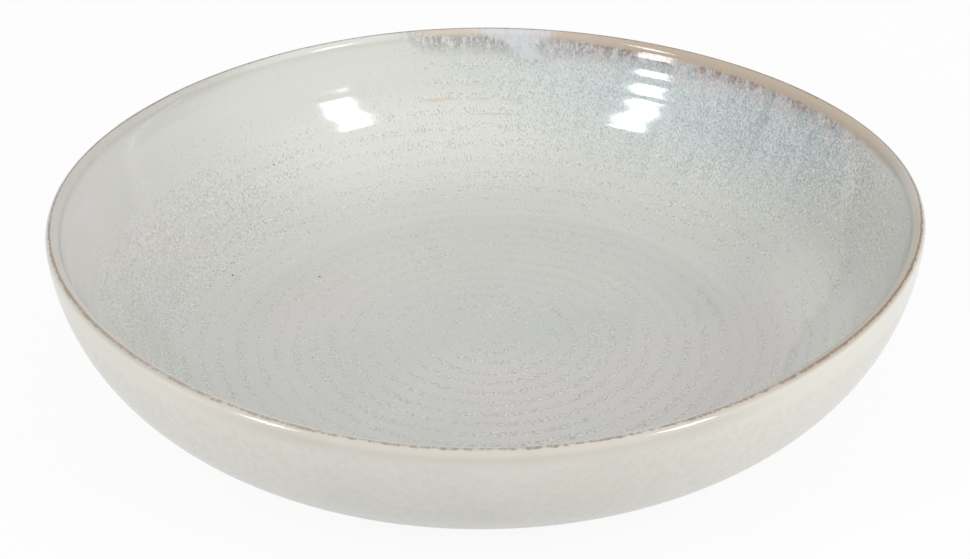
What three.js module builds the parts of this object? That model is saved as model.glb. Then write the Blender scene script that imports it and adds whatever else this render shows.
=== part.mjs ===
// A wide stoneware serving bowl: a thrown clay body with a trimmed foot ring, and
// the four coats of fired glaze on it: inside lining, rim band, outside and base.
// Millimetres, +Z up, origin on the table under the middle of the bowl.
import * as THREE from 'three';

// Driving dimensions of the finished bowl
const rimRadius = 150; // to the outside of the glazed lip
const bowlHeight = 66; // table to the top of the glazed lip, before its sway

// Clay body
const lipThickness = 2.8; // bare clay, rounded over
const wallThickness = 4.9; // bare clay, once the lip's taper has ended
const taperDrop = 16; // how far below the lip the wall reaches that thickness
const lipLean = 4; // degrees that the wall under the lip leans in
const upperFullness = 31; // how far the wall runs on straight below the lip
const lowerFullness = 29; // how far it runs on straight out from the foot
const footLean = 25; // degrees above the table where it leaves the foot
const floorThickness = 4.8;
const floorEase = 6; // height over which the wall eases into the flat floor

// Foot ring, trimmed into the underside
const footRadius = 99; // outside of the ring, bare clay
const footHeight = 3.6; // table to where the wall starts
const footWidth = 6; // the land that the bowl stands on
const recessHeight = 4.4; // table to the bare clay inside the ring
const recessFillet = 2.4;

// Glaze
const glazeThickness = 0.8;
const bondGap = 0.1; // between a coat and the clay that it covers
const seamGap = 0.2; // between two coats that meet edge to edge
const bandWidth = 3.5; // how far the rim band reaches down on both sides of the lip
const wipedEdge = 1.2; // bare clay left beside the land, where the foot was wiped

// Finger rings, left by throwing, that show through the inside glaze
const ringPitch = 6.5; // along the surface, from the middle of the floor to the band
const ringRelief = 0.4;

// Sway of the lip: two long lobes and three short ones, fading out towards the foot
const longSway = 2; // height of a lobe
const longSwayPeak = -2.5; // degrees from +X
const shortSway = 1.3;
const shortSwayPeak = -24;

// Colours and gloss of the clay and its coats
const bareClay = { color: 0xd8cbb4, roughness: 0.85 };
const greyGlaze = { color: 0xc8c9c3, roughness: 0.3 };
const brownGlaze = { color: 0xb9a591, roughness: 0.35 };
const creamGlaze = { color: 0xdad7d0, roughness: 0.25 };

// Steps of the turned shapes
const turnSteps = 40;
const wallSteps = 10;
const lipSteps = 4;
const filletSteps = 3;
const floorSteps = 5;

const coatReach = bondGap + glazeThickness;
const lipRadius = lipThickness / 2;
const floorTop = recessHeight + floorThickness;
const footInner = footRadius - footWidth;

const { degToRad, lerp, smoothstep } = THREE.MathUtils;

// Highest of two heights, rounded off where they are closer than ease
function easedHighest(first, second, ease) {
  const overlap = Math.max(ease - Math.abs(first - second), 0) / ease;
  return Math.max(first, second) + overlap * overlap * ease / 4;
}

function heading(degrees) {
  return new THREE.Vector2(Math.cos(degToRad(degrees)), Math.sin(degToRad(degrees)));
}

// Outlines run anticlockwise round the clay, so that a step's outer side is on its right
function outerSide(from, to) {
  return new THREE.Vector2(to.y - from.y, from.x - to.x).normalize();
}

const lipInset = coatReach + lipRadius;
const lipCentre = new THREE.Vector2(rimRadius - lipInset, bowlHeight - lipInset);

// Outside of the wall, from the foot ring up to the lip
const wallCurve = (() => {
  const foot = new THREE.Vector2(footRadius, footHeight);
  const lip = lipCentre.clone().addScaledVector(heading(-lipLean), lipRadius);
  const footHandle = foot.clone().addScaledVector(heading(footLean), lowerFullness);
  const lipHandle = lip.clone().addScaledVector(heading(-90 - lipLean), upperFullness);
  return new THREE.CubicBezierCurve(foot, footHandle, lipHandle, lip);
})();

function underside() {
  const points = [new THREE.Vector2(0, recessHeight)];
  const centre = new THREE.Vector2(footInner - recessFillet, recessHeight - recessFillet);
  for (let step = 0; step <= filletSteps; step += 1) {
    const angle = lerp(90, 0, step / filletSteps);
    points.push(centre.clone().addScaledVector(heading(angle), recessFillet));
  }
  points.push(new THREE.Vector2(footInner, 0));
  return points;
}

function outside() {
  return [new THREE.Vector2(footRadius, 0), ...wallCurve.getPoints(wallSteps)];
}

function lip() {
  const points = [];
  for (let step = 1; step < lipSteps; step += 1) {
    const angle = -lipLean + 180 * step / lipSteps;
    points.push(lipCentre.clone().addScaledVector(heading(angle), lipRadius));
  }
  return points;
}

// Inside of the wall: the outside moved in by the wall, easing into a flat floor
function inside() {
  const points = [];
  const sink = (point) => point.setY(easedHighest(floorTop, point.y, floorEase));
  for (let step = 0; step <= wallSteps; step += 1) {
    const along = 1 - step / wallSteps;
    const point = wallCurve.getPoint(along);
    const tangent = wallCurve.getTangent(along);
    const taper = smoothstep(lipCentre.y - point.y, 0, taperDrop);
    const thickness = lerp(lipThickness, wallThickness, taper);
    points.push(point.add(new THREE.Vector2(-tangent.y, tangent.x).multiplyScalar(thickness)));
  }
  const last = points.at(-1).clone();
  const run = (last.y - floorTop + floorEase) / Math.sin(degToRad(footLean));
  for (let step = 1; step <= floorSteps; step += 1) {
    points.push(last.clone().addScaledVector(heading(footLean), -run * step / floorSteps));
  }
  return [...points.map(sink), new THREE.Vector2(0, floorTop)];
}

// The clay's outline, with the running length and the outer side at each of its points
const stretches = [underside(), outside(), lip(), inside()];
const clayOutline = stretches.flat();
const runningLength = [0];
for (let index = 1; index < clayOutline.length; index += 1) {
  runningLength.push(runningLength[index - 1] + clayOutline[index].distanceTo(clayOutline[index - 1]));
}
const outerSides = clayOutline.map((point, index) => {
  const before = index > 0 ? outerSide(clayOutline[index - 1], point) : null;
  const after = index < clayOutline.length - 1 ? outerSide(point, clayOutline[index + 1]) : null;
  if (!before || !after) {
    return before || after;
  }
  const middle = before.clone().add(after).normalize();
  return middle.divideScalar(middle.dot(after));
});

// Running lengths at the land's two edges, the lip's two edges and the middle of the floor
const landInner = runningLength[stretches[0].length - 1];
const landOuter = runningLength[stretches[0].length];
const lipOutside = runningLength[stretches[0].length + stretches[1].length - 1];
const lipInside = runningLength[clayOutline.length - stretches[3].length];
const floorMiddle = runningLength.at(-1);

// Point that stands out of the clay by a distance, at a running length of its outline
function standOff(length, distance) {
  const above = runningLength.findIndex((mark) => mark >= length);
  const next = Math.max(above, 1);
  const share = (length - runningLength[next - 1]) / (runningLength[next] - runningLength[next - 1]);
  const side = outerSides[next - 1].clone().lerp(outerSides[next], share);
  return clayOutline[next - 1].clone().lerp(clayOutline[next], share).addScaledVector(side, distance);
}

// The clay's own points between two running lengths, with both ends
function marksBetween(from, to) {
  return [from, ...runningLength.filter((mark) => mark > from && mark < to), to];
}

// Closed outline of a coat between two running lengths, with a relief on its outer face
function coatOutline(from, to, reliefMarks = [], reliefAt = () => 0) {
  const bonded = marksBetween(from, to).map((mark) => standOff(mark, bondGap));
  const faceMarks = reliefMarks.length ? [from, ...reliefMarks, to] : marksBetween(from, to);
  const face = faceMarks.map((mark) => standOff(mark, coatReach + reliefAt(mark)));
  bonded.reverse();
  if (from === 0) {
    return [...face, ...bonded];
  }
  const outline = [...bonded, ...face];
  return to === floorMiddle ? outline : [...outline, outline[0].clone()];
}

// Ridges and valleys of the finger rings, in turn, counted from the middle of the floor
function ringMarks(from) {
  const marks = [];
  const halfPitch = ringPitch / 2;
  const count = Math.floor((floorMiddle - from) / halfPitch);
  for (let index = count - 1; index > 0; index -= 1) {
    marks.push(floorMiddle - index * halfPitch);
  }
  return marks;
}

function ringHeight(mark) {
  const halves = Math.round((floorMiddle - mark) / (ringPitch / 2));
  return halves % 2 ? ringRelief : 0;
}

// Turn an outline about the bowl's axis and give it the lip's sway
function turned(outline) {
  const geometry = new THREE.LatheGeometry(outline, turnSteps);
  geometry.rotateX(Math.PI / 2);
  const place = geometry.getAttribute('position');
  for (let index = 0; index < place.count; index += 1) {
    const angle = Math.atan2(place.getY(index), place.getX(index));
    const long = longSway * Math.cos(2 * (angle - degToRad(longSwayPeak)));
    const short = shortSway * Math.cos(3 * (angle - degToRad(shortSwayPeak)));
    const height = place.getZ(index);
    place.setZ(index, height + (long + short) * smoothstep(height, recessHeight, bowlHeight));
  }
  geometry.computeVertexNormals();
  return geometry;
}

const bowl = new THREE.Group();

function addPiece(name, outline, finish) {
  const piece = new THREE.Mesh(turned(outline), new THREE.MeshStandardMaterial({ ...finish, metalness: 0 }));
  piece.name = name;
  bowl.add(piece);
}

const bandOutside = lipOutside - bandWidth;
const bandInside = lipInside + bandWidth;
const liningStart = bandInside + seamGap;
const lining = coatOutline(liningStart, floorMiddle, ringMarks(liningStart), ringHeight);

addPiece('clay_body', clayOutline, bareClay);
addPiece('inside_glaze', lining, greyGlaze);
addPiece('rim_glaze', coatOutline(bandOutside, bandInside), brownGlaze);
addPiece('outside_glaze', coatOutline(landOuter + wipedEdge, bandOutside - seamGap), creamGlaze);
addPiece('base_glaze', coatOutline(0, landInner - wipedEdge), creamGlaze);

export default bowl;
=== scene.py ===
import math
import bpy
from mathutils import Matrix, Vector, kdtree, noise


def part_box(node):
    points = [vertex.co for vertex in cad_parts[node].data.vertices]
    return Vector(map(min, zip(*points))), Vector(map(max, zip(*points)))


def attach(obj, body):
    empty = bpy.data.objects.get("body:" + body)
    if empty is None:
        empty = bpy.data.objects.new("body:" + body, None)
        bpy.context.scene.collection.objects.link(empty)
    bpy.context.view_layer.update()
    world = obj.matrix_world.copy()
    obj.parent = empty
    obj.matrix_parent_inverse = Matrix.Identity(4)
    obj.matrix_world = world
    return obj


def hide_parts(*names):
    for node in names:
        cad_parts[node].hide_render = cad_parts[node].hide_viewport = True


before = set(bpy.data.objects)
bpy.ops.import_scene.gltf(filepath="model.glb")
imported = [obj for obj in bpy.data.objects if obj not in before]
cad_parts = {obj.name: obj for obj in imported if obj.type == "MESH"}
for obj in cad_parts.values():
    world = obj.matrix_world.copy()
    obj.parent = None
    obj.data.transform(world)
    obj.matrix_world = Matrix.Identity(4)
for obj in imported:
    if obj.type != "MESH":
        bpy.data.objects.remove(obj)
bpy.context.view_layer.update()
mm = 0.001
print("frame loaded:", sorted(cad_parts))

# the thrown clay, as the frame has it, in millimetres
clay = {
    "rimRadius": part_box("rim_glaze")[1].x / mm,
    "height": 66,
    "lipThickness": 2.8,
    "wallThickness": 4.9,
    "taperDrop": 16,
    "lipLean": 4,
    "upperFullness": 31,
    "lowerFullness": 29,
    "footLean": 25,
    "floorTop": 9.2,
    "floorEase": 6,
    "footRadius": 99,
    "footHeight": 3.6,
    "footWidth": 6,
    "recessHeight": 4.4,
    "recessFillet": 2.4,
    "edgeRound": 0.5,           # the land's two worn edges
    "longSway": 2, "longPeak": -2.5,
    "shortSway": 1.3, "shortPeak": -24,
}
coat = {"thickness": 0.8, "gap": 0.1, "band": 3.5, "wiped": 1.2, "endTaper": 2.2}
turn = {"steps": 256, "wall": 112, "lip": 20, "ease": 30, "floor": 0.8}
coatReach = coat["thickness"] + coat["gap"]


def smooth(value, low, high):
    share = min(max((value - low) / (high - low), 0), 1)
    return share * share * (3 - 2 * share)


def heading(degrees):
    return Vector((math.cos(math.radians(degrees)), math.sin(math.radians(degrees))))


def arc(centre, radius, start, end, steps):
    return [centre + heading(start + (end - start) * step / steps) * radius for step in range(steps + 1)]


# outline of the clay in the XZ plane: underside, outside, lip, inside
lipRadius = clay["lipThickness"] / 2
lipInset = coatReach + lipRadius
lipCentre = Vector((clay["rimRadius"] - lipInset, clay["height"] - lipInset))
wallFoot = Vector((clay["footRadius"], clay["footHeight"]))
wallLip = lipCentre + heading(-clay["lipLean"]) * lipRadius
footHandle = wallFoot + heading(clay["footLean"]) * clay["lowerFullness"]
lipHandle = wallLip + heading(-90 - clay["lipLean"]) * clay["upperFullness"]


def wallPoint(share):
    rest = 1 - share
    return (wallFoot * rest ** 3 + footHandle * 3 * rest ** 2 * share
            + lipHandle * 3 * rest * share ** 2 + wallLip * share ** 3)


def wallHeading(share):
    rest = 1 - share
    return ((footHandle - wallFoot) * rest ** 2 + (lipHandle - footHandle) * 2 * rest * share
            + (wallLip - lipHandle) * share ** 2).normalized()


def undersideLine():
    inner = clay["footRadius"] - clay["footWidth"]
    fillet, worn = clay["recessFillet"], clay["edgeRound"]
    line = [Vector((inner * step / 24, clay["recessHeight"])) for step in range(23)]
    line += arc(Vector((inner - fillet, clay["recessHeight"] - fillet)), fillet, 90, 0, 10)
    line += arc(Vector((inner + worn, worn)), worn, 180, 270, 5)
    return line


def outsideLine():
    worn = clay["edgeRound"]
    line = arc(Vector((clay["footRadius"] - worn, worn)), worn, -90, 0, 5)
    return line + [wallPoint(step / turn["wall"]) for step in range(turn["wall"] + 1)]


def insideLine():
    line = []
    for step in range(turn["wall"] + 1):
        share = 1 - step / turn["wall"]
        point, along = wallPoint(share), wallHeading(share)
        taper = smooth(lipCentre.y - point.y, 0, clay["taperDrop"])
        thickness = clay["lipThickness"] + (clay["wallThickness"] - clay["lipThickness"]) * taper
        line.append(point + Vector((-along.y, along.x)) * thickness)
    last, ease = line[-1], clay["floorEase"]
    run = (last.y - clay["floorTop"] + ease) / math.sin(math.radians(clay["footLean"]))
    down = heading(clay["footLean"]) * run / turn["ease"]
    line += [last - down * step for step in range(1, turn["ease"] + 1)]
    for point in line:          # the wall eases into the flat floor
        overlap = max(ease - abs(clay["floorTop"] - point.y), 0) / ease
        point.y = max(clay["floorTop"], point.y) + overlap ** 2 * ease / 4
    floorEdge = line[-1].x
    count = round(floorEdge / turn["floor"])
    across = [floorEdge * (1 - step / count) for step in range(1, count + 1)]
    return line + [Vector((place, clay["floorTop"])) for place in across]


lipLine = arc(lipCentre, lipRadius, -clay["lipLean"], 180 - clay["lipLean"], turn["lip"])[1:-1]
parts = [undersideLine(), outsideLine(), lipLine, insideLine()]
outline = [point for part in parts for point in part]
length = [0]
for before, after in zip(outline, outline[1:]):
    length.append(length[-1] + (after - before).length)
side = []                       # outer side of the outline at each point
for index in range(len(outline)):
    before, after = outline[max(index - 1, 0)], outline[min(index + 1, len(outline) - 1)]
    along = (after - before).normalized()
    side.append(Vector((along.y, -along.x)))
landInner = length[len(parts[0]) - 1]
landOuter = length[len(parts[0])]
lipOutside = length[len(parts[0]) + len(parts[1]) - 1]
lipInside = length[len(outline) - len(parts[3])]
floorMiddle = length[-1]
lipTop = length[max(range(len(outline)), key=lambda index: outline[index].y)]
print("outline:", len(outline), "points,", round(floorMiddle), "mm long")


def sway(angle):
    return (clay["longSway"] * math.cos(2 * (angle - math.radians(clay["longPeak"])))
            + clay["shortSway"] * math.cos(3 * (angle - math.radians(clay["shortPeak"]))))


# finger rings that show through the lining, the thick edge under the lip, and the drip on it
ring = {
    "pitch": 6.6,
    "crestDrop": 13.1,          # drop of the first crest
    "upperRelief": 0.17,
    "wallRelief": 0.06,
    "floorRelief": 0.05,
    "offset": 2.74, "offsetAngle": 60,      # the rings on the floor aren't quite in the middle
    "wander": 0.9, "wanderLength": 14,
    "lead": 0.2,                # share of a pitch that the rings move low on the wall
    "uneven": 0.3,
    "strongAngle": 55, "weak": 0.62, "strong": 0.95,        # cosines of the turn from that angle
}
edge = {
    "top": 0.4, "crest": 6.4, "fade": 14,
    "relief": 1.2,
    "least": 0.25,              # share of the bevel away from the strong side
    "leftStart": 125, "leftEnd": 160, "leftLoss": 0.7,
    "fullStart": 13, "fullEnd": 24, "fullness": 0.7, "leastFull": 0.43,
    "fallStart": 28, "fallEnd": 75,
}
drip = {"angle": 82.4, "lean": 2.8, "halfWidth": 6.5, "top": 0.5, "bottom": 12, "relief": 0.3}


def ringCount(drop, angle):
    reach = floorMiddle - lipTop - drop
    shift = ring["offset"] * math.cos(angle - math.radians(ring["offsetAngle"]))
    shift *= 1 - smooth(reach, 90, 125)
    spot = (reach / ring["wanderLength"], math.cos(angle) * 1.3, math.sin(angle) * 1.3)
    wander = noise.noise(spot) * ring["wander"]
    first = floorMiddle - lipTop - ring["crestDrop"]
    return (reach - shift - first + wander) / ring["pitch"] + ring["lead"] * smooth(drop, 30, 65)


def strength(angle):            # the relief is strongest at the far right
    return smooth(math.cos(angle - math.radians(ring["strongAngle"])), ring["weak"], ring["strong"])


def ringRelief(drop, angle):
    reach = floorMiddle - lipTop - drop
    count = ringCount(drop, angle)
    wave = 0.5 + 0.5 * math.cos(count * math.tau)
    level = ring["floorRelief"] + (ring["wallRelief"] - ring["floorRelief"]) * smooth(reach, 85, 125)
    level += (ring["upperRelief"] - ring["wallRelief"]) * strength(angle) * (1 - smooth(drop, 22, 30))
    spot = (math.floor(count + 0.5) * 3.7, math.cos(angle) * 1.1, math.sin(angle) * 1.1)
    level *= 1 + ring["uneven"] * noise.noise(spot)
    return wave * level * smooth(drop, 6, 9) * smooth(reach, 1, 6)


def edgeRelief(drop, angle):    # a bevel under the lip, and the wall a little fuller below it
    strong = strength(angle)
    bevel = edge["relief"] * (edge["least"] + (1 - edge["least"]) * strong)
    bevel *= smooth(drop, edge["top"], edge["crest"])
    bevel *= 1 - (1.3 - 1.25 * strong) * smooth(drop, edge["crest"], edge["fade"])
    bevel *= 1 - edge["leftLoss"] * smooth(abs(math.degrees(angle)), edge["leftStart"], edge["leftEnd"])
    fuller = edge["fullness"] * (edge["leastFull"] + (1 - edge["leastFull"]) * strong)
    fuller *= smooth(drop, edge["fullStart"], edge["fullEnd"])
    return (bevel + fuller) * (1 - smooth(drop, edge["fallStart"], edge["fallEnd"]))


def dripRelief(drop, angle):
    fall = (drop - drip["top"]) / (drip["bottom"] - drip["top"])
    middle = drip["angle"] + drip["lean"] * max(1 - fall, 0)
    across = abs(math.degrees(angle) - middle) / (drip["halfWidth"] * max(1.15 - 1.8 * fall, 0.38))
    return drip["relief"] * smooth(1 - across, 0, 0.6) * smooth(fall, 0, 0.35) * smooth(1 - fall, 0, 0.25)


def spinPiece(name, line, closed):
    bpy.ops.object.select_all(action="DESELECT")
    bpy.ops.mesh.primitive_plane_add(size=0.01, location=(0, 0, 0))
    piece = bpy.context.object
    piece.name = piece.data.name = name
    bpy.ops.object.mode_set(mode="EDIT")
    bpy.ops.mesh.merge(type="CENTER")
    bpy.ops.transform.translate(value=(line[0].x * mm, 0, line[0].y * mm))
    stops = line + [line[0]] if closed else line
    for before, after in zip(stops, stops[1:]):
        step = (after - before) * mm
        bpy.ops.mesh.extrude_region_move(TRANSFORM_OT_translate={"value": (step.x, 0, step.y)})
    bpy.ops.mesh.select_all(action="SELECT")
    bpy.ops.mesh.spin(steps=turn["steps"], angle=math.tau, center=(0, 0, 0), axis=(0, 0, 1))
    bpy.ops.mesh.select_all(action="SELECT")
    bpy.ops.mesh.remove_doubles(threshold=1e-6)
    bpy.ops.mesh.normals_make_consistent(inside=False)
    bpy.ops.object.mode_set(mode="OBJECT")
    return piece


def shapePiece(piece, stations):
    # stations: point, running length and outer side of the outline, or None for the hidden back
    tree = kdtree.KDTree(len(stations))
    for index, (point, mark, out) in enumerate(stations):
        tree.insert((point.x, 0, point.y), index)
    tree.balance()
    dropLayer = piece.data.attributes.new("drop", "FLOAT", "POINT")
    ringLayer = piece.data.attributes.new("ring", "FLOAT", "POINT")
    for vertex in piece.data.vertices:
        place = vertex.co / mm
        angle = math.atan2(place.y, place.x)
        radius = math.hypot(place.x, place.y)
        point, mark, out = stations[tree.find((radius, 0, place.z))[1]]
        drop = mark - lipTop
        dropLayer.data[vertex.index].value = drop
        ringLayer.data[vertex.index].value = ringCount(drop, angle)
        lift = sway(angle) * smooth(place.z, clay["recessHeight"], clay["height"])
        if out is not None and drop > 0:
            relief = ringRelief(drop, angle) + edgeRelief(drop, angle) + dripRelief(drop, angle)
            place.x += out.x * relief * math.cos(angle)
            place.y += out.x * relief * math.sin(angle)
            place.z += out.y * relief
        place.z += lift
        vertex.co = place * mm
    bpy.ops.object.select_all(action="DESELECT")
    piece.select_set(True)
    bpy.context.view_layer.objects.active = piece
    bpy.ops.object.shade_smooth_by_angle(angle=math.radians(50))


def coatPiece(name, start, end, freeStart=False, freeEnd=False):
    marks = [index for index, mark in enumerate(length) if start - 1e-6 <= mark <= end + 1e-6]
    face, back = [], []
    for index in marks:
        mark, out = length[index], side[index]
        thin = smooth(mark - start, -0.4, coat["endTaper"]) if freeStart else 1
        thin *= smooth(end - mark, -0.4, coat["endTaper"]) if freeEnd else 1
        face.append((outline[index] + out * (coat["gap"] + coat["thickness"] * math.sqrt(thin)), mark, out))
    for index in marks[::6] + ([marks[-1]] if (len(marks) - 1) % 6 else []):
        back.append((outline[index] + side[index] * coat["gap"] * 0.5, length[index], None))
    back.reverse()
    stations = face + back if start == 0 else back + face
    onAxis = start == 0 or end == floorMiddle
    piece = spinPiece(name, [station[0] for station in stations], not onAxis)
    shapePiece(piece, stations)
    print(name, "modelled:", len(piece.data.vertices), "points")
    return piece


def nearestMark(value):
    return min(length, key=lambda mark: abs(mark - value))


bandOutside = nearestMark(lipOutside - coat["band"])
bandInside = nearestMark(lipInside + coat["band"])
core = [index for index, mark in enumerate(length) if abs(mark - landOuter) < 20 or index % 4 == 0]
body = spinPiece("bowl_clay", [outline[index] for index in core] + outline[-1:], False)
shapePiece(body, [(outline[index], length[index], None) for index in core])
lining = coatPiece("bowl_lining", bandInside, floorMiddle)
rim = coatPiece("bowl_rim_band", bandOutside, bandInside)
outer = coatPiece("bowl_outer_coat", landOuter + coat["wiped"], bandOutside, freeStart=True)
base = coatPiece("bowl_base_coat", 0, landInner - coat["wiped"], freeEnd=True)


class Wire:                     # a value in a shader, for sums
    def __init__(self, desk, socket):
        self.desk = desk
        self.socket = socket

    def op(self, operation, *values):
        return self.desk.node("Math", {"operation": operation}, dict(enumerate(values)))

    def __add__(self, other):
        return self.op("ADD", self, other)

    def __radd__(self, other):
        return self.op("ADD", other, self)

    def __sub__(self, other):
        return self.op("SUBTRACT", self, other)

    def __rsub__(self, other):
        return self.op("SUBTRACT", other, self)

    def __mul__(self, other):
        return self.op("MULTIPLY", self, other)

    def __rmul__(self, other):
        return self.op("MULTIPLY", other, self)

    def __truediv__(self, other):
        return self.op("DIVIDE", self, other)

    def above(self, other):
        return self.op("MAXIMUM", self, other)

    def below(self, other):
        return self.op("MINIMUM", self, other)

    def size(self):
        return self.op("ABSOLUTE", self)

    def other(self, name):      # another output of the same node
        return Wire(self.desk, self.socket.node.outputs[name])


class Desk:                     # the nodes of one material, or of the world
    def __init__(self, owner):
        self.owner = owner
        owner.use_nodes = True
        self.tree = owner.node_tree
        self.tree.nodes.clear()

    def node(self, kind, settings=None, sockets=None, out=0):
        made = self.tree.nodes.new("ShaderNode" + kind)
        for key, value in (settings or {}).items():
            setattr(made, key, value)
        for key, value in (sockets or {}).items():
            if isinstance(value, Wire):
                self.tree.links.new(value.socket, made.inputs[key])
            else:
                made.inputs[key].default_value = value
        return Wire(self, made.outputs[out]) if made.outputs else None

    def step(self, value, low, high):       # smooth 0 to 1, or 1 to 0 if low is above high
        if low > high:
            return 1 - self.step(value, high, low)
        return self.node("MapRange", {"interpolation_type": "SMOOTHSTEP"},
                         {"Value": value, "From Min": low, "From Max": high})

    def span(self, value, ends):            # two ends as in step, or four: start, full, full, end
        if len(ends) == 2:
            return self.step(value, *ends)
        return self.step(value, ends[0], ends[1]) * self.step(value, ends[3], ends[2])

    def mix(self, factor, first, second):
        return self.node("Mix", {"data_type": "RGBA"}, {0: factor, 6: first, 7: second}, 2)

    def grain(self, vector, scale, detail=2, rough=0.5):
        sockets = {"Vector": vector, "Scale": scale, "Detail": detail, "Roughness": rough}
        return self.node("TexNoise", {}, sockets)

    def stipple(self, vector, scale, amount):           # dark and light specks, by amount
        speck = self.grain(vector, scale, 1)
        reach = 0.24 - 0.16 * amount
        return self.step(speck - 0.5 - reach, 0, 0.09), self.step(0.5 - reach - speck, 0, 0.09)

    def spots(self, vector, scale, density, radius):    # a few round pinholes
        cells = self.node("TexVoronoi", {}, {"Vector": vector, "Scale": scale})
        there = self.node("SeparateColor", {}, {0: cells.other("Color")})
        spot = self.step(cells / (radius * (0.6 + 0.8 * there.other("Blue"))), 1, 0.6)
        return spot * self.step(there, density, density - 0.01)

    def seen(self, mirrored=1):  # rays that show the surroundings: straight, mirrored or through glass
        path = self.node("LightPath", {}, {}, "Is Camera Ray")
        glossy = path.other("Is Glossy Ray") * mirrored
        return path.above(glossy).above(path.other("Is Transmission Ray"))


def tint(red, green, blue):     # a colour as a paint chip shows it, 0 to 255
    def level(value):
        value /= 255
        return value / 12.92 if value <= 0.04045 else ((value + 0.055) / 1.055) ** 2.4
    return (level(red), level(green), level(blue), 1)


glaze = {
    # lining; blush, milk and frost are lighter tones for painted light, shade is the tone for painted shade
    "grey": tint(188, 190, 185),
    "warm": tint(195, 193, 189),
    "blush": tint(199, 197, 194),
    "milk": tint(209, 211, 204),
    "frost": tint(221, 222, 216),
    "shade": tint(176, 177, 172),
    # blue flow
    "blue": tint(193, 205, 209),
    "slate": tint(150, 161, 167),
    "sky": tint(211, 222, 225),
    "mauve": tint(186, 178, 182),
    # band on the lip, its fringe, its drip and the line
    "tan": tint(181, 165, 145),
    "sand": tint(201, 188, 172),
    "ash": tint(170, 161, 150),
    "stone": tint(172, 167, 157),
    "bark": tint(163, 148, 129),
    "moss": tint(160, 161, 152),
    "rust": tint(134, 108, 99),
    "smoke": tint(146, 142, 144),
    "pale": tint(208, 212, 218),
    "brown": tint(142, 121, 97),
    "umber": tint(117, 97, 81),
    "iron": tint(120, 117, 112),
    # outside; linen is the lighter tone for painted light on both sides of the front
    "cream": tint(202, 201, 195),
    "ivory": tint(206, 202, 194),
    "chalk": tint(199, 200, 195),
    "linen": tint(214, 211, 201),
    "peach": tint(193, 182, 168),
    # specks and marks
    "dark": tint(128, 128, 122),
    "light": tint(236, 236, 230),
    "spot": tint(92, 88, 82),
    "streak": tint(205, 188, 157),
    "ridgeShadow": tint(190, 187, 182),
    "gloss": 0.06,
    "ior": 1.57,
    "bump": 0.35,
}
stretch = {"dashes": 0.0037, "runs": 0.0014}


def glazePlaces(desk):
    place = desk.node("TexCoord", {}, {}, "Object")
    east = desk.node("SeparateXYZ", {}, {0: place})
    north = east.other("Y")
    angle = desk.node("Math", {"operation": "ARCTAN2"}, {0: north, 1: east}) * (180 / math.pi)
    radius = desk.node("Math", {"operation": "SQRT"}, {0: east * east + north * north + 1e-9})
    drop = desk.node("Attribute", {"attribute_name": "drop"}, {}, "Fac")
    rings = desk.node("Attribute", {"attribute_name": "ring"}, {}, "Fac")
    # unit circle round the bowl with the drop drawn out: dashes a little, runs a lot
    circle = {0: east / radius, 1: north / radius}
    dashes = desk.node("CombineXYZ", {}, circle | {2: drop * stretch["dashes"]})
    runs = desk.node("CombineXYZ", {}, circle | {2: drop * stretch["runs"]})
    return place, angle, drop, rings, dashes, runs


# the lip: places in degrees round the bowl or in drop, depths and widths in millimetres
lip = {
    "wide": (-8, 12, 96, 106), "wideDepth": 4.4, "wideShare": 0.92,
    "right": (-80, -40, -10, 6), "rightDepth": 3.8, "rightShare": 0.78,
    "left": (110, 140), "leftDepth": 3.4, "leftShare": 0.6,
    "shallow": (60, 90, 108, 130),
    "start": 0.6,
    "ragged": 2.4,
    "bandSoft": 1.1, "leftSoft": 1.6, "rightSoft": 1.2,
    "fringeReach": 5.4, "fringeShare": 0.9, "rear": (66, 76), "rearReach": 0.8, "rearShare": 0.8,
    "front": (-172, -130, -60, -20),
    "behind": (5, 36, 146, 176),
    "lineDrop": 0.44, "lineFront": 0.36, "lineBehind": 0.2,
    "lineHalf": 0.1, "lineSlow": 0.34, "frontHalf": 0.15, "behindHalf": 0.27, "blotHalf": 0.3,
    "lineLeast": 0.14,
    "lineShare": 0.88, "frontLoss": 0.2, "frontBreak": 0.45,
    "glow": (-7, -1.6, -0.6, 0.4),
    "brow": (-13, -5, -1.8, -0.6), "browFlank": (22, 42, 68, 88), "browShare": 0.7,
}


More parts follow.
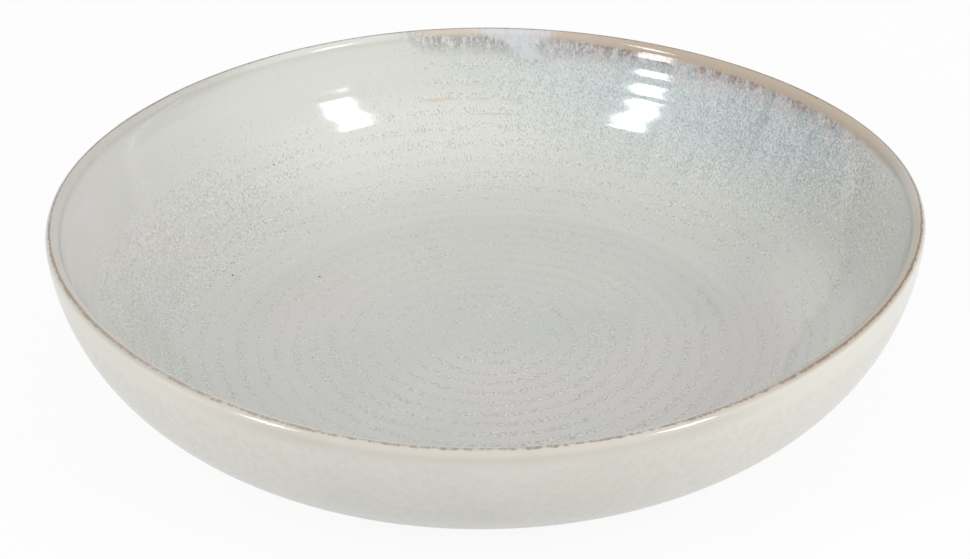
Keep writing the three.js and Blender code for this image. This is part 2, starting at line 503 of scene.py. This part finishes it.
def lipColours(desk, colour, angle, drop, runs, place):
    slow = desk.grain(runs, 8, 2)
    ragged = desk.grain(runs, 75, 3, 0.65) - 0.5
    teeth = desk.grain(runs, 170, 2, 0.6) - 0.5
    crumb = desk.grain(place, 900, 3, 0.6) - 0.5
    blot = desk.grain(place, 380, 3, 0.6) - 0.5
    flank = (angle + 90).size()             # degrees from the front
    # brown band inside the lip: full at the far right, a tinge elsewhere
    wide = desk.span(angle, lip["wide"])
    right = desk.span(angle, lip["right"])
    left = desk.span(angle.size(), lip["left"])
    tinge = wide * lip["wideShare"] + right * lip["rightShare"] + left * lip["leftShare"]
    depth = lip["wideDepth"] * wide + lip["rightDepth"] * right + lip["leftDepth"] * left
    depth = depth - lip["start"] - desk.span(angle, lip["shallow"])
    depth = depth + ragged * lip["ragged"] + crumb
    below = drop - depth
    soft = lip["bandSoft"] + lip["leftSoft"] * left + lip["rightSoft"] * right
    band = desk.step(below / soft, 1, -1) * desk.step(drop, -1.6, -0.6) * tinge
    bandTone = desk.mix(desk.step(angle + slow * 20, 74, 100), glaze["tan"], glaze["sand"])
    ashy = desk.step(angle + slow * 16, 30, 14) * desk.step(angle, -14, 4)
    bandTone = desk.mix(ashy, bandTone, glaze["ash"])
    rightTone = desk.mix(desk.step(drop, 0.1, 1.5), glaze["bark"], glaze["moss"])
    bandTone = desk.mix(right, bandTone, rightTone)
    bandTone = desk.mix(left, bandTone, glaze["stone"])
    # fringe under the band: dashes at the back, patches at the right
    rear = desk.step(angle, *lip["rear"])
    torn = (below + teeth * 6 + ragged * 5) / (1 + lip["rearReach"] * rear)
    fringe = desk.step(below, -1.6, 0) * desk.step(torn, lip["fringeReach"], 0.4)
    fringe = fringe * desk.step(teeth + crumb + ragged, -0.22, 0.15) * wide * desk.step(angle, 14, 28)
    fringe = fringe * desk.step(slow + blot, 0.3, 0.6).above(lip["rearShare"] * rear)
    fringeTone = desk.mix(desk.step(angle, 66, 80), glaze["rust"], glaze["smoke"])
    # thin dark line on the lip: out on its shoulder at the sides, nearer the top elsewhere
    front = desk.span(angle, lip["front"])
    behind = desk.span(angle, lip["behind"])
    offset = drop + lip["lineDrop"] - lip["lineFront"] * front - lip["lineBehind"] * behind
    offset = offset + blot * 0.8 + crumb * 0.5
    half = lip["lineHalf"] + lip["lineSlow"] * slow + lip["behindHalf"] * behind
    half = half + lip["frontHalf"] * front + lip["blotHalf"] * blot
    offset = offset / half.above(lip["lineLeast"])
    broken = desk.step(blot + crumb, 0.08, -0.14)
    line = desk.step(offset * offset, 1.3, 0.3)
    line = line * (lip["lineShare"] - front * (lip["frontLoss"] + lip["frontBreak"] * broken))
    lineTone = desk.mix(desk.step(angle + slow * 40, -105, -55), glaze["brown"], glaze["umber"])
    leftBack = desk.step(angle, 98, 114).above(desk.step(angle, -164, -176))
    lineTone = desk.mix(leftBack, lineTone, glaze["iron"])
    # warm glow under the line at the front, paler at both sides of it
    glow = desk.span(drop, lip["glow"]) * (0.2 + 0.7 * slow)
    glow = glow * (1 - 0.75 * desk.step(flank, 20, 45))
    colour = desk.mix(glow, colour, glaze["peach"])
    # painted light: a lighter band under the lip on both sides of the front
    brow = desk.span(drop, lip["brow"]) * desk.span(flank, lip["browFlank"])
    colour = desk.mix(brow * lip["browShare"], colour, glaze["linen"])
    colour = desk.mix(band, colour, bandTone)
    colour = desk.mix(fringe * lip["fringeShare"], colour, fringeTone)
    # pale drip over the band
    fall = (drop - drip["top"]) / (drip["bottom"] - drip["top"])
    middle = drip["angle"] + drip["lean"] * (1 - fall).above(0)
    across = (angle - middle).size() / (1.15 - 1.8 * fall).above(0.38)
    pale = desk.step(across + ragged * 7, drip["halfWidth"] * 1.1, drip["halfWidth"] * 0.5)
    pale = pale * desk.step(fall + ragged * 0.4, 1.08, 0.84) * desk.step(drop, -0.4, 0.8)
    colour = desk.mix(pale * (0.66 + teeth), colour, glaze["pale"])
    tip = desk.step(fall, 0.9, 1) * desk.step(fall, 1.14, 1.04) * desk.step(across, 7.5, 5.5)
    colour = desk.mix(tip * desk.step(crumb, -0.08, 0.1) * 0.5, colour, glaze["smoke"])
    return desk.mix(line, colour, lineTone)


def finishGlaze(desk, colour, rough, height, distance):
    bump = desk.node("Bump", {}, {"Strength": glaze["bump"], "Distance": distance, "Height": height})
    sockets = {"Base Color": colour, "Roughness": rough, "IOR": glaze["ior"], "Normal": bump}
    shader = desk.node("BsdfPrincipled", {}, sockets)
    desk.node("OutputMaterial", {}, {"Surface": shader})
    return desk.owner


# painted light and painted shade on the lining: tone, share, degrees round (two ends: both ways from the
# right), drop
paintedLightAndShade = [
    ("blush", 0.5, None, (55, 88, 98, 135)),                    # painted light round the edge of the floor
    ("frost", 0.22, (10, 45, 120, 155), (66, 86, 105, 150)),    # painted light on the back of the floor
    ("blush", 1, (90, 140), (60, 8)),                           # painted light on the left wall
    ("frost", 0.28, (-40, -12, 12, 36), (34, 48, 60, 78)),      # painted light on the right wall, low
    ("shade", 0.4, (-10, 10, 22, 38), (8, 18, 40, 56)),         # painted shade on the right wall, high
    ("milk", 1, (14, 58, 110, 175), (105, 20)),                 # painted light on the back wall
    ("frost", 0.45, (68, 90, 112, 138), (18, 32, 46, 76)),      # painted light on the middle of the back wall
    ("milk", 0.15, (110, 150), (50, 70, 88, 110)),              # painted light at the foot of the left wall
]
blueRun = {
    "middle": 56, "halfWidth": 50,          # degrees round the bowl
    "depth": 40, "wander": 16, "fade": (20, -16), "shallow": (3, 30),
    "thinner": (98, 60),
    "combed": (26, 6), "combedShare": 0.6,
    "grey": (0.41, 0.59),
    "skyAngle": (42, 62, 84, 104), "skyDrop": (7, 14, 34, 54), "skyShare": 0.42,
    "mauveDrop": (18, 7), "mauveRun": (0.36, 0.56), "mauveShare": 0.78,
    "share": 0.8,
}


def liningGround(desk, place, angle, drop, dashes, runs):
    # grey lining in clouds, then painted light and painted shade on it, lightest on the back wall
    cloud = desk.grain(place, 14, 3)
    colour = desk.mix(desk.step(cloud, 0.35, 0.65), glaze["grey"], glaze["warm"])
    for tone, share, around, down in paintedLightAndShade:
        paintedTint = desk.span(drop, down) * share
        if around:
            paintedTint = paintedTint * desk.span(angle.size() if len(around) == 2 else angle, around)
        colour = desk.mix(paintedTint, colour, glaze[tone])
    # the blue glaze, run down from the far right of the lip
    share = (angle - blueRun["middle"]) / blueRun["halfWidth"]
    depth = blueRun["depth"] * (1 - share * share).above(0)
    run = desk.grain(runs, 26, 3, 0.6)
    combed = desk.step(drop, *blueRun["combed"]) * blueRun["combedShare"]
    fine = desk.grain(runs, 190, 3, 0.65) * combed + desk.grain(dashes, 300, 2, 0.7) * (1 - combed)
    blue = desk.step(drop - depth + (run - 0.5) * blueRun["wander"], *blueRun["fade"])
    blue = blue * desk.step(depth, *blueRun["shallow"])
    blue = blue * (0.4 + 0.6 * desk.step(angle, *blueRun["thinner"]))
    flow = desk.step(fine + (run - 0.5) * 0.4, *blueRun["grey"])
    flow = desk.mix(flow, glaze["slate"], glaze["blue"])
    # painted light: a paler blue where the back wall faces the lamps
    sky = desk.span(drop, blueRun["skyDrop"]) * desk.span(angle, blueRun["skyAngle"])
    flow = desk.mix(sky * blueRun["skyShare"], flow, glaze["sky"])
    mauve = desk.step(drop, *blueRun["mauveDrop"]) * desk.step(run, *blueRun["mauveRun"])
    flow = desk.mix(mauve * blueRun["mauveShare"], flow, glaze["mauve"])
    colour = desk.mix(blue * blueRun["share"], colour, flow)
    return colour, blue, fine, cloud


speck = {
    "floorScale": 1350, "wallScale": 265, "wall": (62, 50),
    "front": (0.1, -1, 0),                  # the ribbons, and the painted shade along them, are strongest on this side
    "backAngle": (16, 40, 88, 112), "backDrop": (64, 40),
    "rightAngle": (-30, -2, 16, 40), "rightDrop": (42, 18),
    "leftAngle": (118, 145), "leftDrop": (26, 42, 58, 74),
    "least": 0.22, "most": 1.15,
    "bold": 0.48, "backBold": -0.06, "rightBold": 0.14, "lightShare": 0.85,
    "bumpHeight": 0.000004,
}
# streaks, painted shadow lines under the ring ridges, and pinholes: degrees round, drop, half sizes, tone,
# share
marks = [
    (97.3, 27.6, 4.2, 0.9, "streak", 0.55),
    (85.6, 28.2, 2.6, 0.6, "streak", 0.5),
    (91, 22, 5, 0.7, "streak", 0.2),
    (88, 34.3, 5, 0.6, "ridgeShadow", 0.6),
    (90.5, 28, 2.6, 0.6, "ridgeShadow", 0.5),
    (154.1, 71.5, 0.33, 0.7, "spot", 0.9),
    (141.8, 97.6, 0.5, 0.7, "spot", 0.9),
    (108.5, 93, 0.4, 0.6, "spot", 0.5),
]


def liningGlaze():
    desk = Desk(bpy.data.materials.new("lining_glaze"))
    place, angle, drop, rings, dashes, runs = glazePlaces(desk)
    colour, blue, fine, cloud = liningGround(desk, place, angle, drop, dashes, runs)
    # specks everywhere, thickest in ribbons along the crests of the finger rings
    wave = desk.node("Math", {"operation": "COSINE"}, {0: rings * math.tau})
    patch = (desk.grain(place, 42, 3) - 0.5) * 0.7
    facing = {0: dashes, 1: speck["front"]}
    facing = desk.node("VectorMath", {"operation": "DOT_PRODUCT"}, facing, "Value")
    ribbon = desk.step(wave + patch * 2, -0.3, 0.9)
    ribbon = ribbon * (0.55 + 0.45 * desk.step(facing, -0.9, 0.9)) * desk.step(drop, 14, 44)
    # painted shade along the ribbons of the rings, strongest at the front of the bowl and on the floor
    tone = ribbon * (0.11 + 0.1 * desk.step(facing, -0.2, 0.9))
    tone = tone * (0.45 + 0.55 * desk.step(drop, 50, 75))
    colour = desk.mix(tone * (1 + patch * 2), colour, glaze["shade"])
    back = desk.span(angle, speck["backAngle"]) * desk.step(drop, *speck["backDrop"])
    right = desk.span(angle, speck["rightAngle"]) * desk.step(drop, *speck["rightDrop"])
    left = desk.span(angle.size(), speck["leftAngle"]) * desk.span(drop, speck["leftDrop"])
    rows = desk.step(wave + patch, -0.3, 0.7)
    amount = speck["least"] + 0.2 * desk.step(drop, 10, 26) + 0.25 * desk.step(drop, 22, 38)
    amount = amount - 0.25 * desk.step(drop, 56, 86) + ribbon * 0.55 + patch + blue * 0.6
    amount = amount + back * (0.28 + 0.55 * rows) + right * 0.7 + left * 0.3
    amount = amount.below(speck["most"])
    wall = desk.step(drop, *speck["wall"])
    darkFlat, lightFlat = desk.stipple(place, speck["floorScale"], amount)
    darkWall, lightWall = desk.stipple(dashes, speck["wallScale"], amount)
    dark = darkFlat * (1 - wall) + darkWall * wall
    light = lightFlat * (1 - wall) + lightWall * wall
    bold = speck["bold"] + speck["backBold"] * back + speck["rightBold"] * right
    colour = desk.mix(dark * bold, colour, glaze["dark"])
    colour = desk.mix(light * bold * speck["lightShare"], colour, glaze["light"])
    colour = desk.mix(desk.spots(place, 60, 0.3, 0.022), colour, glaze["spot"])
    for markAngle, markDrop, halfWidth, halfHeight, markTone, share in marks:
        width = (angle - markAngle) / halfWidth
        height = (drop - markDrop + (fine - 0.5) * 0.9) / halfHeight
        inside = desk.step(width * width + height * height, 1, 0.1)
        colour = desk.mix(inside * share, colour, glaze[markTone])
    colour = lipColours(desk, colour, angle, drop, runs, place)
    # the floor is a little less glossy than the wall
    rough = glaze["gloss"] + dark * 0.03 + cloud * 0.03 + 0.1 * desk.step(drop, 62, 90)
    return finishGlaze(desk, colour, rough, light - dark, speck["bumpHeight"])


def rimGlaze():
    desk = Desk(bpy.data.materials.new("rim_glaze"))
    place, angle, drop, _, dashes, runs = glazePlaces(desk)
    lined, _, _, cloud = liningGround(desk, place, angle, drop, dashes, runs)
    colour = desk.mix(desk.step(drop, -0.6, 0.6), glaze["cream"], lined)
    colour = lipColours(desk, colour, angle, drop, runs, place)
    return finishGlaze(desk, colour, glaze["gloss"] + cloud * 0.05, cloud, 0.0001)


outside = {"flank": (12, 34, 52, 76), "flankDrop": (-85, -60), "flankShare": 0.5, "mottleShare": 0.35,
           "fineShare": 0.32, "speckShare": 0.12, "bumpHeight": 0.00008}


def outerGlaze(name):
    desk = Desk(bpy.data.materials.new(name))
    place, angle, drop, _, _, runs = glazePlaces(desk)
    # cream and ivory clouds, greyer towards the foot, and painted light on both sides of the front
    cloud = desk.grain(place, 18, 3)
    colour = desk.mix(desk.step(cloud, 0.32, 0.68), glaze["cream"], glaze["ivory"])
    colour = desk.mix(desk.step(drop + cloud * 30, -5, -50), colour, glaze["chalk"])
    mottle = desk.step(desk.grain(place, 48, 4, 0.6), 0.45, 0.75)
    colour = desk.mix(mottle * outside["mottleShare"], colour, glaze["warm"])
    flank = desk.span((angle + 90).size(), outside["flank"]) * desk.step(drop, *outside["flankDrop"])
    colour = desk.mix(flank * outside["flankShare"], colour, glaze["linen"])
    fine = desk.step(desk.grain(place, 420, 2), 0.4, 0.62)
    colour = desk.mix(fine * outside["fineShare"], colour, glaze["grey"])
    dark, _ = desk.stipple(place, 700, 0.1)
    colour = desk.mix(dark * outside["speckShare"], colour, glaze["dark"])
    colour = desk.mix(desk.spots(place, 60, 0.25, 0.02), colour, glaze["spot"])
    colour = lipColours(desk, colour, angle, drop, runs, place)
    ripple = desk.grain(place, 300, 2)
    return finishGlaze(desk, colour, glaze["gloss"] + cloud * 0.06, ripple, outside["bumpHeight"])


bare = {"buff": tint(214, 201, 178), "ochre": tint(201, 186, 160), "grit": tint(140, 120, 96)}


def bareClay():
    desk = Desk(bpy.data.materials.new("bare_clay"))
    place = desk.node("TexCoord", {}, {}, "Object")
    grit = desk.grain(place, 1400, 3, 0.6)
    cloud = desk.step(desk.grain(place, 60, 3), 0.3, 0.7)
    colour = desk.mix(cloud, bare["buff"], bare["ochre"])
    colour = desk.mix(desk.step(grit, 0.62, 0.72) * 0.5, colour, bare["grit"])
    return finishGlaze(desk, colour, 0.75 + grit * 0.15, grit, 0.0002)


dressing = [
    (body, bareClay(), "clay", "clay_body"),
    (lining, liningGlaze(), "inside_glaze", "inside_glaze"),
    (rim, rimGlaze(), "rim_glaze", "rim_glaze"),
    (outer, outerGlaze("outer_glaze"), "outside_glaze", "outside_glaze"),
    (base, outerGlaze("base_glaze"), "outside_glaze", "base_glaze"),
]
for piece, material, slotName, node in dressing:
    piece.data.materials.clear()
    piece.data.materials.append(material)
    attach(piece, "root")
    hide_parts(node)
print("pieces dressed:", len(dressing))

# studio: pale floor, two strip softboxes in front, two broad fills, white surroundings
studio = {
    "aimHeight": 0.05,
    "softRise": 33.5, "softDistance": 1.7, "softWidth": 0.28, "softHeight": 0.72,
    "leftTurn": -53, "leftPower": 8,
    "rightTurn": 47, "rightPower": 7.5,
    "fillDistance": 2.2, "fillWidth": 1.6, "fillHeight": 0.8,
    "frontTurn": 0, "frontRise": 12, "frontPower": 0.8,
    "sideTurn": 85, "sideRise": 15, "sidePower": 10,
    "worldLight": 0.725,
    "floorSize": 12, "floorHeight": -0.0002,
    "floorWhite": 0.92, "floorMirrored": 0.6,
}


def softbox(name, turnDegrees, riseDegrees, distance, width, height, power):
    bpy.ops.object.light_add(type="AREA")
    lamp = bpy.context.object
    lamp.name = name
    lamp.data.shape = "RECTANGLE"
    lamp.data.size = width
    lamp.data.size_y = height
    lamp.data.energy = power
    turned, raised = math.radians(turnDegrees), math.radians(riseDegrees)
    flat = distance * math.cos(raised)
    up = studio["aimHeight"] + distance * math.sin(raised)
    lamp.location = (flat * math.sin(turned), -flat * math.cos(turned), up)
    aim = Vector((0, 0, studio["aimHeight"])) - lamp.location
    lamp.rotation_euler = aim.to_track_quat("-Z", "Y").to_euler()
    return lamp


strip = (studio["softRise"], studio["softDistance"], studio["softWidth"], studio["softHeight"])
fill = (studio["fillDistance"], studio["fillWidth"], studio["fillHeight"])
softbox("strip_left", studio["leftTurn"], *strip, studio["leftPower"])
softbox("strip_right", studio["rightTurn"], *strip, studio["rightPower"])
front = softbox("fill_front", studio["frontTurn"], studio["frontRise"], *fill, studio["frontPower"])
front.visible_glossy = False
aside = softbox("fill_right", studio["sideTurn"], studio["sideRise"], *fill, studio["sidePower"])
aside.visible_glossy = False

bpy.ops.object.select_all(action="DESELECT")
bpy.ops.mesh.primitive_plane_add(size=studio["floorSize"], location=(0, 0, studio["floorHeight"]))
floor = bpy.context.object
floor.name = "studio_floor"
desk = Desk(bpy.data.materials.new("studio_floor"))
matt = desk.node("BsdfDiffuse", {}, {"Color": (0.8, 0.8, 0.8, 1)})
white = desk.node("Emission", {}, {"Color": (1, 1, 1, 1), "Strength": 1})
shown = desk.seen(studio["floorMirrored"]) * studio["floorWhite"]
both = desk.node("MixShader", {}, {0: shown, 1: matt, 2: white})
desk.node("OutputMaterial", {}, {"Surface": both})
floor.data.materials.append(desk.owner)

world = bpy.data.worlds.new("studio")
bpy.context.scene.world = world
desk = Desk(world)
plain = desk.node("Background", {}, {"Color": (1, 1, 1, 1), "Strength": studio["worldLight"]})
backdrop = desk.node("Background", {}, {"Color": (1, 1, 1, 1), "Strength": 1})
both = desk.node("MixShader", {}, {0: desk.seen(), 1: plain, 2: backdrop})
desk.node("OutputWorld", {}, {"Surface": both})

# camera: as the photograph was taken
view = {"distance": 0.9, "rise": 28.14, "aimHeight": 0.0358, "aside": -0.00034, "lens": 96.95, "roll": 0.8}
rise = math.radians(view["rise"])
bpy.ops.object.camera_add()
camera = bpy.context.object
camera.data.lens = view["lens"]
camera.data.sensor_width = 36
away = -view["distance"] * math.cos(rise)
camera.location = (view["aside"], away, clay["height"] * mm + view["distance"] * math.sin(rise))
aim = (Vector((view["aside"], 0, view["aimHeight"])) - camera.location).to_track_quat("-Z", "Y")
camera.rotation_euler = aim.to_euler()
camera.rotation_euler.rotate_axis("Z", math.radians(-view["roll"]))
bpy.context.scene.camera = camera
bpy.context.scene.view_settings.view_transform = "Standard"
